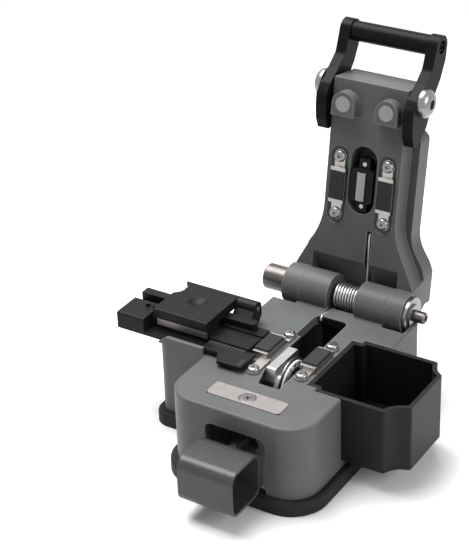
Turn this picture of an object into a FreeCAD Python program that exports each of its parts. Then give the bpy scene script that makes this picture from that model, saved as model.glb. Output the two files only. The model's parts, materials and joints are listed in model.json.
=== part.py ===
import FreeCAD, Part
import math
import os
import re
import Sketcher

# Fibre cleaver: a hand tool that clamps a stripped optical fibre, scores it with a carbide
# wheel and snaps it.  Millimetres.  +X runs towards the scrap bin, +Y towards the hinge and
# +Z up.  The origin is on the surface that the tool stands on, under the point where the
# fibre line crosses the blade's track.

DOC = FreeCAD.newDocument("fibre_cleaver")
VECTOR = FreeCAD.Vector
TURN = FreeCAD.Rotation
X_AXIS = VECTOR(1, 0, 0)
Y_AXIS = VECTOR(0, 1, 0)
Z_AXIS = VECTOR(0, 0, 1)

SIZES = {
    # housing
    "lobe_half": 27.4, "lobe_front": 40.7, "lobe_corner": 11, "housing_rear": 44,
    "rear_corner": 4, "housing_floor": 2, "body_top": 33, "edge_round": 1,
    "wing_left": 46.4, "wing_front": 15.2, "wing_rear": 9, "wing_lip": 3,
    "wing_slope": 4, "wall": 2.6, "roof": 3.5,
    "cavity_half": 16, "cavity_front": 38, "cavity_right": 10.4, "cavity_rear": 30.5,
    # top slot and front opening
    "slot_half": 6.4, "slot_rear": 28.4, "slot_front": 20.5, "slot_neck": 4.2,
    "slot_tip": 1.8, "pocket_front": 12.5, "taper_start": 12,
    "opening_half": 11.7, "opening_top": 26.5,
    # rubber boot
    "mat_rim": 2.6, "mat_height": 5, "snug": 0.05,
    # keeper
    "keeper_y": 30, "keeper_long": 28.4, "keeper_wide": 7.4, "keeper_thick": 1.5,
    "keeper_proud": 0.3,
    # hinge
    "hinge_y": 40.5, "hinge_z": 35.6, "knuckle_r": 7.5, "knuckle_end": 24.2,
    "knuckle_seam": 17.4, "spring_gap": 5.7, "seam_play": 0.2, "notch_r": 9.2,
    "shaft_r": 3, "shaft_end_r": 2.2, "shaft_left": 34.2, "shaft_right": 30.7,
    "bush_r": 4, "running": 0.05, "lid_lean": 10,
    "spring_r": 4.45, "spring_half": 4.6, "spring_wire": 0.45, "spring_turns": 6,
    # lid
    "face": 1.9, "step": 9.4, "lid_back": 16.4, "lid_top": 79.3, "plate_half": 14.4,
    "flange_half": 17.6, "flange_top": 63.5, "flange_shoulder": 61,
    "flare_start": 22, "flare_end": 13, "shoulder_round": 3, "flare_round": 14,
    "foot_round": 10, "waist_start": 26, "waist_end": 7, "waist_round": 26, "plate_low": 13.5,
    "pivot_v": 75.5, "pivot_depth": 5,
    "magnet_v": 71, "magnet_x": 8.45, "magnet_r": 2.8, "boss_half": 4.4, "boss_drop": 3.8,
    "recess_half": 5.2, "recess_low": 31.5, "recess_high": 56.5, "recess_deep": 8,
    # clamps
    "anvil_v": 42, "guide_r": 0.8, "seat_half": 3.5,
    "pad_x": 9.5, "pad_wide": 5.6, "pad_long": 10.4, "pad_top": 3, "clamp_reach": 10.6,
    "clamp_base": 0.8, "clamp_lip": 1.4, "ear_r": 2.4, "lower_seat": 1.8, "lower_lip": 2.4,
    "upper_seat": 1.5, "upper_lip": 1.9, "pad_face": 0.45,
    # handle
    "arm_thick": 4, "arm_gap": 0.6, "arm_outer": 19, "grip_eye": 4.2, "grip_v": 93.2,
    "grip_depth": 15.4, "grip_r": 3.6, "pivot_r": 2,
    # carriage
    "wheel_r": 9.6, "wheel_y": 5.9, "wheel_z": 26, "wheel_x": 2.15, "wheel_thick": 1.2,
    "dial_out": 9, "dial_in": 6.2, "axle_r": 2.5, "axle_x": -0.3, "tab_x": 1.2, "tab_half": 10.5,
    "tab_front": 60, "tab_back": 42, "tab_low": 6.2, "tab_high": 23.2, "tab_corner": 4,
    "tab_wall": 1, "rail_half": 3.5, "rail_top": 9,
    # fibre holder
    "holder_left": 64.3, "holder_right": 12.8, "holder_front": 13.7, "holder_rear": 5.9,
    "holder_gap": 0.1, "shelf_top": 34.3, "block_top": 38.6, "block_half": 8.4,
    "block_right": 29, "end_top": 39.5, "end_right": 53, "floor_top": 36.4,
    "groove_half": 2.2, "groove_floor": 36.3, "lug_right": 21.3, "plate_top": 35.5,
    "plate_right": 9.8, "tab_reach": 18.6, "cover_left": 51.5, "cover_right": 29.3,
    "cover_front": 9.3, "cover_top": 42.2, "cover_low": 38.8, "cover_hinge_y": 12,
    "cover_hinge_z": 39.6, "barrel_r": 2.6, "pin_r": 1,
    # scrap bin
    "bin_inner": 13, "bin_front": 15.4, "bin_rear": 21, "bin_step_x": 17, "bin_step": 2,
    "bin_gap": 0.3, "bin_outer": 50.2, "bin_flute": 8, "bin_wall": 1.5, "bin_low": 8.1, "ridge_round": 1.2,
}

SHEET = DOC.addObject("Spreadsheet::Sheet", "Sizes")
for row, (alias, size) in enumerate(SIZES.items(), start=1):
    SHEET.set("A%d" % row, alias)
    SHEET.set("B%d" % row, str(size))
    SHEET.setAlias("B%d" % row, alias)
DOC.recompute()


# ---------------------------------------------------------------- expressions and placing

def linked(text):
    """Point every word of an expression that names a size at its cell."""
    def cell(match):
        word = match.group()
        return "Sizes." + word if word in SIZES else word
    return re.sub(r"[a-z_]+", cell, str(text))


def value(text):
    """The present value of an expression on the sheet."""
    return float(SHEET.evalExpression(linked(text)))


def bind(item, path, text):
    item.setExpression(path, linked(text))


def place(item, x="0", y="0", z="0", turn=None):
    """Bind an item's position to the sheet, and turn it."""
    if turn:
        item.Placement.Rotation = turn
    for path, text in (("x", x), ("y", y), ("z", z)):
        bind(item, "Placement.Base." + path, text)
    return item


def on_lid(item):
    """Carry an item that is drawn with the hinge axis as its origin and the lid upright."""
    item.Placement.Rotation = TURN(VECTOR(-1, 0, 0), 10)
    bind(item, "Placement.Rotation.Angle", "lid_lean")
    return place(item, "0", "hinge_y", "hinge_z")


def face_up_on_lid(item, x, up, deep):
    """Carry an item that is drawn lying on its back: its Y runs up the lid, its Z comes out
    of the lid's inner face, and its origin is at a height up the lid and a depth into it."""
    item.Placement.Rotation = TURN(X_AXIS, 80)
    bind(item, "Placement.Rotation.Angle", "90 - lid_lean")
    y = "hinge_y + (%s) * sin(lid_lean) + (%s) * cos(lid_lean)" % (up, deep)
    z = "hinge_z + (%s) * cos(lid_lean) - (%s) * sin(lid_lean)" % (up, deep)
    return place(item, x, y, z)


# ------------------------------------------------------------------- primitives, booleans

def box(label, x, y, z, length, width, height):
    item = DOC.addObject("Part::Box", label)
    for path, text in (("Length", length), ("Width", width), ("Height", height)):
        bind(item, path, text)
    return place(item, x, y, z)


def rod(label, axis, radius, length, x="0", y="0", z="0"):
    """A cylinder that runs from a point along X, Y or Z."""
    item = DOC.addObject("Part::Cylinder", label)
    bind(item, "Radius", radius)
    bind(item, "Height", length)
    turns = {"X": TURN(Y_AXIS, 90), "Y": TURN(X_AXIS, -90), "Z": TURN(Z_AXIS, 0)}
    return place(item, x, y, z, turns[axis])


def cut(label, base, tool):
    item = DOC.addObject("Part::Cut", label)
    item.Base = base
    item.Tool = tool
    return item


def group(label, *items):
    """Equal pieces that stay separate solids of one sub-part."""
    item = DOC.addObject("Part::Compound", label)
    item.Links = list(items)
    return item


# ------------------------------------------------------------------------ PartDesign body

class Piece:
    """A PartDesign body built from sketches whose points are bound to the sheet.

    A prism is drawn on the XY, XZ or YZ plane, starts at a distance from it and always
    grows towards +Z, +Y or +X."""

    def __init__(self, label):
        self.body = DOC.addObject("PartDesign::Body", label)
        self.body.Label = label

    def plane(self, name):
        features = self.body.Origin.OriginFeatures
        return [item for item in features if item.Role == name + "_Plane"][0]

    def sketch(self, plane, start):
        item = self.body.newObject("Sketcher::SketchObject", "sketch")
        item.AttachmentSupport = (self.plane(plane), [""])
        item.MapMode = "FlatFace"
        away = "0 - (%s)" % start if plane == "XZ" else start
        bind(item, ".AttachmentOffset.Base.z", away)
        return item

    def polygon(self, plane, start, points):
        item = self.sketch(plane, start)
        count = len(points)
        corners = [VECTOR(value(u), value(v), 0) for u, v in points]
        for index in range(count):
            item.addGeometry(Part.LineSegment(corners[index], corners[(index + 1) % count]))
        for index in range(count):
            item.addConstraint(Sketcher.Constraint("Coincident", index, 2, (index + 1) % count, 1))
        for index, (u, v) in enumerate(points):
            for kind, text in (("DistanceX", u), ("DistanceY", v)):
                limit = Sketcher.Constraint(kind, -1, 1, index, 1, value(text))
                number = item.addConstraint(limit)
                bind(item, "Constraints[%d]" % number, text)
        DOC.recompute()
        return item

    def circle(self, plane, start, u, v, radius):
        item = self.sketch(plane, start)
        centre = VECTOR(value(u), value(v), 0)
        item.addGeometry(Part.Circle(centre, Z_AXIS, value(radius)))
        for kind, text in (("DistanceX", u), ("DistanceY", v)):
            number = item.addConstraint(Sketcher.Constraint(kind, -1, 1, 0, 3, value(text)))
            bind(item, "Constraints[%d]" % number, text)
        number = item.addConstraint(Sketcher.Constraint("Radius", 0, value(radius)))
        bind(item, "Constraints[%d]" % number, radius)
        DOC.recompute()
        return item

    def grow(self, plane, sketch, length, hollow=False, taper=None):
        before = self.body.Shape.Volume if self.body.Tip else 0
        kind = "PartDesign::Pocket" if hollow else "PartDesign::Pad"
        item = self.body.newObject(kind, "pocket" if hollow else "pad")
        item.Profile = sketch
        item.Reversed = (plane == "XZ") != hollow
        bind(item, "Length", length)
        if taper:
            bind(item, "TaperAngle", taper)
        DOC.recompute()
        gained = self.body.Shape.Volume - before
        if (gained >= 0) if hollow else (gained <= 0):
            raise RuntimeError(self.body.Label + ": a feature changed nothing")
        return item

    def prism(self, plane, points, start, length, **how):
        return self.grow(plane, self.polygon(plane, start, points), length, **how)

    def disc(self, plane, u, v, radius, start, length, **how):
        return self.grow(plane, self.circle(plane, start, u, v, radius), length, **how)

    def slab(self, plane, low, high, start, length, **how):
        """A rectangular prism from its low corner to its high corner."""
        points = [(low[0], low[1]), (high[0], low[1]), (high[0], high[1]), (low[0], high[1])]
        return self.prism(plane, points, start, length, **how)

    def turned(self, points):
        """Revolve an outline of (along X, radius) points about the X axis."""
        sketch = self.polygon("XZ", "0", points)
        item = self.body.newObject("PartDesign::Revolution", "turned")
        item.Profile = sketch
        item.ReferenceAxis = (sketch, ["H_Axis"])
        item.Angle = 360
        DOC.recompute()
        return item

    def edges(self, test):
        tip = self.body.Tip
        return ["Edge%d" % (n + 1) for n, edge in enumerate(tip.Shape.Edges) if test(edge)]

    def dress(self, kind, path, size, names):
        if not names:
            raise RuntimeError(self.body.Label + ": no edge to dress")
        tip = self.body.Tip
        item = self.body.newObject(kind, kind.split("::")[1].lower())
        item.Base = (tip, names)
        bind(item, path, size)
        DOC.recompute()
        return item

    def corners(self, axis, places, radius):
        """Round the straight edges along an axis that stand at the given places."""
        along = {"X": 0, "Y": 1, "Z": 2}[axis]
        across = [n for n in range(3) if n != along]
        wanted = [(value(u), value(v)) for u, v in places]

        def test(edge):
            if len(edge.Vertexes) != 2:
                return False
            first, last = (vertex.Point for vertex in edge.Vertexes)
            if any(abs(first[n] - last[n]) > 1e-4 for n in across):
                return False
            here = (first[across[0]], first[across[1]])
            return any(abs(here[0] - u) < 0.02 and abs(here[1] - v) < 0.02 for u, v in wanted)
        return self.dress("PartDesign::Fillet", "Radius", radius, self.edges(test))

    def rim(self, height, radius):
        """Round every edge that lies flat at one height."""
        level = value(height)

        def test(edge):
            low, high = edge.BoundBox.ZMin, edge.BoundBox.ZMax
            return abs(low - level) < 0.01 and abs(high - level) < 0.01
        return self.dress("PartDesign::Fillet", "Radius", radius, self.edges(test))

    def shell(self, wall, is_open):
        """Hollow the solid out to a wall, open at the faces that the test picks."""
        tip = self.body.Tip
        names = ["Face%d" % (n + 1) for n, face in enumerate(tip.Shape.Faces) if is_open(face)]
        item = self.body.newObject("PartDesign::Thickness", "shell")
        item.Base = (tip, names)
        item.Reversed = True
        bind(item, "Value", wall)
        DOC.recompute()
        return item


def mirrored(points):
    """Complete an outline that is given for its +X side, from the top down."""
    left = [("0 - (%s)" % u, v) for u, v in reversed(points)]
    return points + left


# ------------------------------------------------------------------------------ fasteners

def screw(name, head_r, head_h, shank_r, length, socket_r, sunk=False):
    """A screw whose head seats at z = 0 and whose shank hangs below it."""
    piece = Piece(name)
    if sunk:
        depth = head_r - shank_r
        side = [(head_r, "0"), (shank_r, -depth), (shank_r, -length)]
        top = 0
    else:
        side = [(0.62 * head_r, head_h), (head_r, 0.4 * head_h), (head_r, "0"),
                (shank_r, "0"), (shank_r, -length)]
        top = head_h
    points = [("0", top)] + side + [("0", -length)]
    sketch = piece.polygon("XZ", "0", points)
    item = piece.body.newObject("PartDesign::Revolution", "turned")
    item.Profile = sketch
    item.ReferenceAxis = (sketch, ["V_Axis"])
    item.Angle = 360
    DOC.recompute()
    half = 0.87 * socket_r
    hexagon = [(socket_r, "0"), (socket_r / 2, half), (-socket_r / 2, half),
               (-socket_r, "0"), (-socket_r / 2, -half), (socket_r / 2, -half)]
    deep = 0.6 * (head_h if not sunk else head_r - shank_r)
    piece.prism("XY", hexagon, top - deep, deep + 1, hollow=True)
    return piece.body


def copies(label, master, seats):
    """Set copies of one master screw on their seats, as separate solids of one sub-part."""
    item = DOC.addObject("Part::Feature", label)
    shapes = []
    for spot, turn in seats:
        shape = master.Shape.copy()
        shape.Placement = FreeCAD.Placement(VECTOR(*[value(text) for text in spot]), turn)
        shapes.append(shape)
    item.Shape = Part.makeCompound(shapes)
    return item


UPRIGHT = TURN(Z_AXIS, 0)
FACING_FRONT = TURN(X_AXIS, 90)
FACING_DOWN = TURN(X_AXIS, 180)
FACING_RIGHT = TURN(Y_AXIS, 90)
FACING_LEFT = TURN(Y_AXIS, -90)


# ------------------------------------------------------------------------------- housing

def outline_of_housing(grow="0"):
    """The lobe and rear of the housing seen from above, moved outwards by a distance."""
    right = "lobe_half + " + grow
    left = "0 - (%s)" % right
    front = "0 - lobe_front - " + grow
    rear = "housing_rear + " + grow
    return [(left, front), (right, front), (right, rear), (left, rear)]


def outline_of_wing(grow="0"):
    left = "0 - wing_left - " + grow
    return [(left, "0 - wing_front - " + grow), ("0 - lobe_half + 0.8", "0 - wing_front - " + grow),
            ("0 - lobe_half + 0.8", "wing_rear + " + grow), (left, "wing_rear + " + grow)]


CLAMP_SEATS = [("0 - 7.4", "clamp_reach - 0.2"), ("0 - 6.9", "0 - clamp_reach - 4.4"),
               ("pad_x", "clamp_reach"), ("pad_x", "0 - clamp_reach")]
RAIL_SEATS = ["0 - 12", "5", "22"]
GUIDE_HEIGHTS = ["anvil_v - 7.8", "anvil_v + 7.8"]
PLATE_SEATS = [("18.4", "0 - 32"), ("0 - 18.4", "0 - 32"), ("18.4", "32.5"), ("0 - 18.4", "32.5")]


def make_housing():
    piece = Piece("body_housing")
    outline = outline_of_housing()
    piece.prism("XY", outline, "housing_floor", "body_top - housing_floor")
    piece.corners("Z", outline[:2], "lobe_corner")
    piece.corners("Z", outline[2:], "rear_corner")
    piece.rim("body_top", "edge_round")
    wing = outline_of_wing()
    piece.prism("XY", wing, "housing_floor", "body_top - housing_floor")
    piece.corners("Z", [wing[0], wing[3]], "wing_slope")
    # the lip that stands in front of the holder, with a slope on its outer end
    lip = [("0 - wing_left", "body_top"), ("0 - lobe_half - 0.2", "body_top"),
           ("0 - lobe_half - 0.2", "body_top + wing_lip"),
           ("0 - wing_left + wing_slope", "body_top + wing_lip")]
    piece.prism("XZ", lip, "0 - wing_front", "1.3")
    # knuckles that carry the shaft
    for start in ("0 - knuckle_seam + seam_play", "spring_gap"):
        piece.disc("YZ", "hinge_y", "hinge_z", "knuckle_r", start,
                   "knuckle_seam - seam_play - spring_gap")
    # seats for the lid's own knuckles, and the hollow under the spring
    piece.disc("YZ", "hinge_y", "hinge_z", "notch_r", "knuckle_seam", "9", hollow=True)
    piece.disc("YZ", "hinge_y", "hinge_z", "notch_r", "0 - lobe_half - 1",
               "lobe_half + 1 - knuckle_seam", hollow=True)
    piece.disc("YZ", "hinge_y", "hinge_z", "6.4", "0 - spring_gap", "2 * spring_gap", hollow=True)
    piece.disc("YZ", "hinge_y", "hinge_z", "shaft_r + running / 2", "0 - knuckle_seam - 1",
               "2 * knuckle_seam + 2", hollow=True)
    piece.slab("XY", ("0 - spring_half - 0.7", "slot_rear - 1"), ("0.7 - spring_half", "37"),
               "body_top - 1.9", "3", hollow=True)
    # the room for the carriage, open at the bottom
    cavity = [("0 - cavity_half", "0 - cavity_front"), ("cavity_half", "0 - cavity_front"),
              ("cavity_half", "0 - bin_front - wall"), ("cavity_right", "0 - bin_front - wall"),
              ("cavity_right", "cavity_rear"), ("0 - cavity_half", "cavity_rear")]
    piece.prism("XY", cavity, "housing_floor", "body_top - roof - housing_floor", hollow=True)
    piece.slab("XY", ("0 - 20.6", "0 - 37.2"), ("20.6", "36.2"), "housing_floor", "2", hollow=True)
    # the slot that the blade shows through: a wide pocket behind a neck with one cut corner
    slot = [("slot_half", "slot_rear"), ("0 - slot_half", "slot_rear"),
            ("0 - slot_half", "pocket_front"), ("0 - slot_neck", "pocket_front"),
            ("0 - slot_neck", "0 - taper_start"), ("0 - slot_tip", "0 - slot_front"),
            ("slot_half", "0 - slot_front")]
    piece.prism("XY", slot, "body_top - roof - 1", "roof + 3", hollow=True)
    piece.corners("Z", slot[:2], "2.4")
    # the bay for the scrap bin, narrower at its inner end
    bay = [("bin_inner", "0 - bin_front + bin_step"), ("bin_step_x", "0 - bin_front + bin_step"),
           ("bin_step_x", "0 - bin_front"), ("lobe_half + 5", "0 - bin_front"),
           ("lobe_half + 5", "bin_rear"), ("bin_step_x", "bin_rear"),
           ("bin_step_x", "bin_rear - bin_step"), ("bin_inner", "bin_rear - bin_step")]
    piece.prism("XY", bay, "bin_low - 0.1", "body_top", hollow=True)
    # the front opening that the pull tab moves through
    left, right = "tab_x - opening_half", "tab_x + opening_half"
    door = [(left, "0"), (right, "0"), (right, "opening_top"), (left, "opening_top")]
    piece.prism("XZ", door, "0 - lobe_front - 1", "lobe_front - cavity_front + 2", hollow=True)
    piece.corners("Y", door[2:], "2.6")
    # the seat of the keeper, its screw and the clamps' screws
    piece.slab("XY", ("0 - keeper_long / 2 - 0.05", "0 - keeper_y - keeper_wide / 2 - 0.05"),
               ("keeper_long / 2 + 0.05", "0 - keeper_y + keeper_wide / 2 + 0.05"),
               "body_top + keeper_proud - keeper_thick", "5", hollow=True)
    piece.disc("XY", "0", "0 - keeper_y", "1.65", "20", "20", hollow=True)
    for seat in CLAMP_SEATS:
        piece.disc("XY", seat[0], seat[1], "1.02", "body_top - 3", "5", hollow=True)
    for seat in PLATE_SEATS:
        piece.disc("XY", seat[0], seat[1], "1.22", "housing_floor + 1", "9", hollow=True)
    # the groove that guides the holder's tongue
    piece.slab("XY", ("0 - wing_left - 1", "0 - 7.15"), ("0 - 14", "0 - 0.85"),
               "body_top - 2.4", "5", hollow=True)
    return piece


def plan_form(label, away, bottom, height):
    """A solid with the housing's plan moved outwards by a distance."""
    piece = Piece(label)
    outline = outline_of_housing(away)
    piece.prism("XY", outline, bottom, height)
    piece.corners("Z", outline[:2], "lobe_corner + " + away)
    piece.corners("Z", outline[2:], "rear_corner + " + away)
    wing = outline_of_wing(away)
    piece.prism("XY", wing, bottom, height)
    piece.corners("Z", [wing[0], wing[3]], "wing_slope + " + away)
    return piece


def make_boot():
    """The rubber boot: a tray whose rim stands proud of the housing all round."""
    outside = plan_form("boot_outside", "mat_rim", "0", "mat_height")
    outside.rim("mat_height", "1.6")
    inside = plan_form("boot_inside", "snug", "housing_floor", "mat_height")
    return cut("base_mat", outside.body, inside.body)


def make_bottom_plate():
    piece = Piece("bottom_plate")
    piece.slab("XY", ("0 - 20.5", "0 - 37.1"), ("20.5", "36.1"), "housing_floor", "1.9")
    for seat in PLATE_SEATS + [("0", y) for y in RAIL_SEATS]:
        piece.disc("XY", seat[0], seat[1], "1.3", "housing_floor", "3", hollow=True)
        piece.disc("XY", seat[0], seat[1], "2.3", "housing_floor", "1.1", hollow=True)
    return piece


def make_keeper():
    """The steel strip that the lid's magnets hold on to, with a countersunk screw hole."""
    piece = Piece("keeper_blank")
    low = ("0 - keeper_long / 2", "0 - keeper_y - keeper_wide / 2")
    high = ("keeper_long / 2", "0 - keeper_y + keeper_wide / 2")
    piece.slab("XY", low, high, "body_top + keeper_proud - keeper_thick", "keeper_thick")
    places = [(low[0], low[1]), (high[0], low[1]), (high[0], high[1]), (low[0], high[1])]
    piece.corners("Z", places, "1.4")
    piece.disc("XY", "0", "0 - keeper_y", "1.52", "20", "20", hollow=True)
    sink = DOC.addObject("Part::Cone", "keeper_sink")
    sink.Radius1 = 1.55
    sink.Radius2 = 3.15
    sink.Height = 1.6
    place(sink, "0", "0 - keeper_y", "body_top + keeper_proud - 1.55")
    return cut("keeper_plate", piece.body, sink)


# --------------------------------------------------------------------------------- clamps

def clamp_frame(piece, ears, x, middle, seat, lip):
    """A clamp bracket lying face up: base, two screw ears and a pad seat between two lips."""
    reach = "(pad_long / 2 + clamp_lip)"
    left = "%s - pad_wide / 2 - 0.1" % x
    right = "%s + pad_wide / 2 + 0.1" % x
    front = "%s - %s" % (middle, reach)
    rear = "%s + %s" % (middle, reach)
    piece.slab("XY", (left, front), (right, rear), "0", seat)
    for u, v in ears:
        inner = rear if value(v) > value(middle) else front
        low, high = sorted((inner, v), key=value)
        piece.slab("XY", ("%s - ear_r + 0.4" % u, low), ("%s + ear_r - 0.4" % u, high),
                   "0", "clamp_base")
        piece.disc("XY", u, v, "ear_r", "0", "clamp_base")
        piece.disc("XY", u, v, "1.1", "0 - 1", "5", hollow=True)
    for start in (front, "%s + pad_long / 2 + 0.05" % middle):
        piece.slab("XY", (left, start), (right, "%s + clamp_lip - 0.05" % start),
                   "%s - 0.1" % seat, "%s - %s + 0.1" % (lip, seat))
    return piece.body


def make_lower_clamps():
    made = []
    for name, x in (("left", "0 - pad_x"), ("right", "pad_x")):
        ears = CLAMP_SEATS[:2] if name == "left" else CLAMP_SEATS[2:]
        frame = clamp_frame(Piece("lower_clamp_" + name), ears, x, "0", "lower_seat", "lower_lip")
        made.append(place(frame, "0", "0", "body_top"))
        made.append(box("lower_pad_" + name, "%s - pad_wide / 2" % x, "0 - pad_long / 2",
                        "body_top + lower_seat", "pad_wide", "pad_long",
                        "pad_top - lower_seat"))
    return made


def make_upper_clamps():
    """The same clamp turned over onto the lid, where it faces the lower one when shut."""
    made = []
    for name, x in (("left", "0 - pad_x"), ("right", "pad_x")):
        ears = [(x, "hinge_y - clamp_reach"), (x, "hinge_y + clamp_reach")]
        frame = clamp_frame(Piece("upper_clamp_" + name), ears, x, "hinge_y",
                            "upper_seat", "upper_lip")
        pad = box("upper_pad_" + name, "0", "0", "0", "pad_wide", "pad_long",
                  "face + clamp_base - upper_seat - pad_face")
        made.append(face_up_on_lid(frame, "0", "0", "face + clamp_base"))
        made.append(face_up_on_lid(pad, "%s - pad_wide / 2" % x, "hinge_y - pad_long / 2",
                                   "face + clamp_base - upper_seat"))
    return made


# ---------------------------------------------------------------------------------- hinge

def tube(label, outer, inner, start, length):
    """A bush or washer on the hinge shaft."""
    rim = rod(label + "_outside", "X", outer, length, start, "hinge_y", "hinge_z")
    bore = rod(label + "_bore", "X", inner, length + " + 2", start + " - 1", "hinge_y", "hinge_z")
    return cut(label, rim, bore)


def make_hinge():
    shaft = Piece("hinge_shaft")
    shaft.turned([("0 - shaft_left", "0"), ("0 - shaft_left", "4.2"),
                  ("0 - shaft_left + 0.6", "4.8"), ("0 - knuckle_end - 0.2", "4.8"),
                  ("0 - knuckle_end - 0.2", "shaft_r"), ("knuckle_end + 0.1", "shaft_r"),
                  ("knuckle_end + 0.1", "shaft_end_r"), ("shaft_right - 0.5", "shaft_end_r"),
                  ("shaft_right", "shaft_end_r - 0.5"), ("shaft_right", "0")])
    key = [("1.1", "0"), ("0.55", "0.95"), ("0 - 0.55", "0.95"),
           ("0 - 1.1", "0"), ("0 - 0.55", "0 - 0.95"), ("0.55", "0 - 0.95")]
    shaft.prism("YZ", key, "shaft_right - 1.6", "3", hollow=True)
    place(shaft.body, "0", "hinge_y", "hinge_z")
    washer = Piece("hinge_washer")
    start = "knuckle_end + 0.2"
    washer.turned([(start, "shaft_end_r + 0.05"), (start, "6.5"), (start + " + 1.2", "6.5"),
                   (start + " + 1.2", "4.2"), (start + " + 2", "4.2"),
                   (start + " + 2", "shaft_end_r + 0.05")])
    place(washer.body, "0", "hinge_y", "hinge_z")
    return [shaft.body, washer.body, make_spring()]


def make_spring():
    """The torsion spring: an even coil round the shaft, with one leg hooked into the top slot
    and the other laid in the lid.  Its wire is drawn as an eight-sided bar."""
    radius = value("spring_r")
    reach = value("spring_half")
    wire = value("spring_wire")
    lean = math.radians(value("lid_lean"))
    axis_y, axis_z = value("hinge_y"), value("hinge_z")
    first = math.radians(-98)
    last = math.radians(4.5) - lean + 2 * math.pi * value("spring_turns")
    steps = 12 * int(value("spring_turns")) + 3
    path = [VECTOR(-reach, value("slot_rear") - 0.7, value("body_top") - 2),
            VECTOR(-reach, value("slot_rear") - 0.4, value("body_top") - 0.1)]
    for step in range(steps + 1):
        angle = first + (last - first) * step / steps
        path.append(VECTOR(-reach + 2 * reach * step / steps,
                           axis_y + radius * math.cos(angle),
                           axis_z + radius * math.sin(angle)))
    up, deep = 25, 2.5
    path.append(VECTOR(reach, axis_y + up * math.sin(lean) + deep * math.cos(lean),
                       axis_z + up * math.cos(lean) - deep * math.sin(lean)))
    along = (path[1] - path[0]).normalize()
    side = along.cross(X_AXIS).normalize()
    other = along.cross(side)
    sides = 8
    ring = [path[0] + side * (wire * math.cos(2 * math.pi * n / sides))
            + other * (wire * math.sin(2 * math.pi * n / sides)) for n in range(sides + 1)]
    item = DOC.addObject("Part::Feature", "hinge_spring")
    item.Shape = Part.makePolygon(path).makePipeShell([Part.makePolygon(ring)], True, False, 1)
    return item


# ------------------------------------------------------------------------------------ lid

def make_lid():
    piece = Piece("lid_arm")
    back = [("plate_half", "lid_top"), ("plate_half", "flange_top"),
            ("flange_half", "flange_shoulder"), ("flange_half", "flare_start"),
            ("knuckle_end", "flare_end"), ("knuckle_end", "0")]
    piece.prism("XZ", mirrored(back), "step", "lid_back - step")
    for number, radius in ((1, "shoulder_round / 2"), (2, "shoulder_round"),
                           (3, "flare_round"), (4, "foot_round")):
        u, v = back[number]
        piece.corners("Y", [(u, v), ("0 - " + u, v)], radius)
    front = [("plate_half", "lid_top"), ("plate_half", "waist_start"),
             ("knuckle_end", "waist_end"), ("knuckle_end", "0")]
    piece.prism("XZ", mirrored(front), "face", "step - face + 0.01")
    for number, radius in ((1, "waist_round"), (2, "waist_round / 3")):
        u, v = front[number]
        piece.corners("Y", [(u, v), ("0 - " + u, v)], radius)
    # the feet that run from the plate round the shaft
    foot = [("0 - 4.6", "5.9"), ("face", "waist_end"), ("lid_back", "flare_end - 1"),
            ("lid_back", "3"), ("5.3", "0 - 5.3")]
    for start in ("knuckle_seam", "0 - knuckle_end"):
        length = "knuckle_end - knuckle_seam"
        piece.prism("YZ", foot, start, length)
        piece.disc("YZ", "0", "0", "knuckle_r", start, length)
    # the clearance between the feet, round the housing's knuckles and the spring
    piece.disc("YZ", "0", "0", "knuckle_r + 0.8", "0 - knuckle_seam", "2 * knuckle_seam",
               hollow=True)
    piece.prism("YZ", [("0 - 9", "0 - 10"), ("knuckle_r + 0.8", "0 - 10"), ("knuckle_r + 0.8", "3"),
                       ("face", "plate_low"), ("0 - 9", "plate_low")],
                "0 - knuckle_seam", "2 * knuckle_seam", hollow=True)
    piece.disc("YZ", "0", "0", "bush_r + 0.02", "0 - knuckle_end - 1", "2 * knuckle_end + 2",
               hollow=True)
    # the slot that the spring's leg lies in, deeper where the leg comes up from the coil
    for low, high, deep in (("13", "26", "2.5"), ("0", "14", "5.5")):
        piece.slab("XZ", ("spring_half - 1", low), ("spring_half + 1", high), "face", deep,
                   hollow=True)
    # magnet bosses, each with a blind seat for its magnet
    for x in ("magnet_x", "0 - magnet_x"):
        left, right = x + " - boss_half", x + " + boss_half"
        piece.slab("XZ", (left, "magnet_v - boss_half"), (right, "magnet_v"),
                   "face - boss_drop", "boss_drop")
        piece.disc("XZ", x, "magnet_v", "boss_half", "face - boss_drop", "boss_drop")
        piece.disc("XZ", x, "magnet_v", "magnet_r + 0.05", "face - boss_drop - 1", "4",
                   hollow=True)
    # the recess that holds the anvil
    piece.slab("XZ", ("0 - recess_half", "recess_low + recess_half"),
               ("recess_half", "recess_high - recess_half"), "face - 1", "recess_deep + 1",
               hollow=True)
    for middle in ("recess_low + recess_half", "recess_high - recess_half"):
        piece.disc("XZ", "0", middle, "recess_half", "face - 1", "recess_deep + 1", hollow=True)
    for v in GUIDE_HEIGHTS:
        piece.disc("XZ", "0", v, "guide_r", "face + recess_deep - 1", "2.2", hollow=True)
    # clamp seats with round ends, and the holes for their screws
    for x in ("pad_x", "0 - pad_x"):
        low, high = "hinge_y - clamp_reach - 0.4", "hinge_y + clamp_reach + 0.4"
        piece.slab("XZ", ("%s - seat_half" % x, low), ("%s + seat_half" % x, high),
                   "face - 1", "clamp_base + 1", hollow=True)
        for v in (low, high):
            piece.disc("XZ", x, v, "seat_half", "face - 1", "clamp_base + 1", hollow=True)
        for v in ("hinge_y - clamp_reach", "hinge_y + clamp_reach"):
            piece.disc("XZ", x, v, "1.02", "face", "5", hollow=True)
    # the holes that the handle's pivots screw into
    for start in ("0 - plate_half - 1", "plate_half - 6"):
        piece.disc("YZ", "pivot_depth", "pivot_v", "pivot_r + 0.02", start, "7", hollow=True)
    return on_lid(piece.body)


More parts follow.
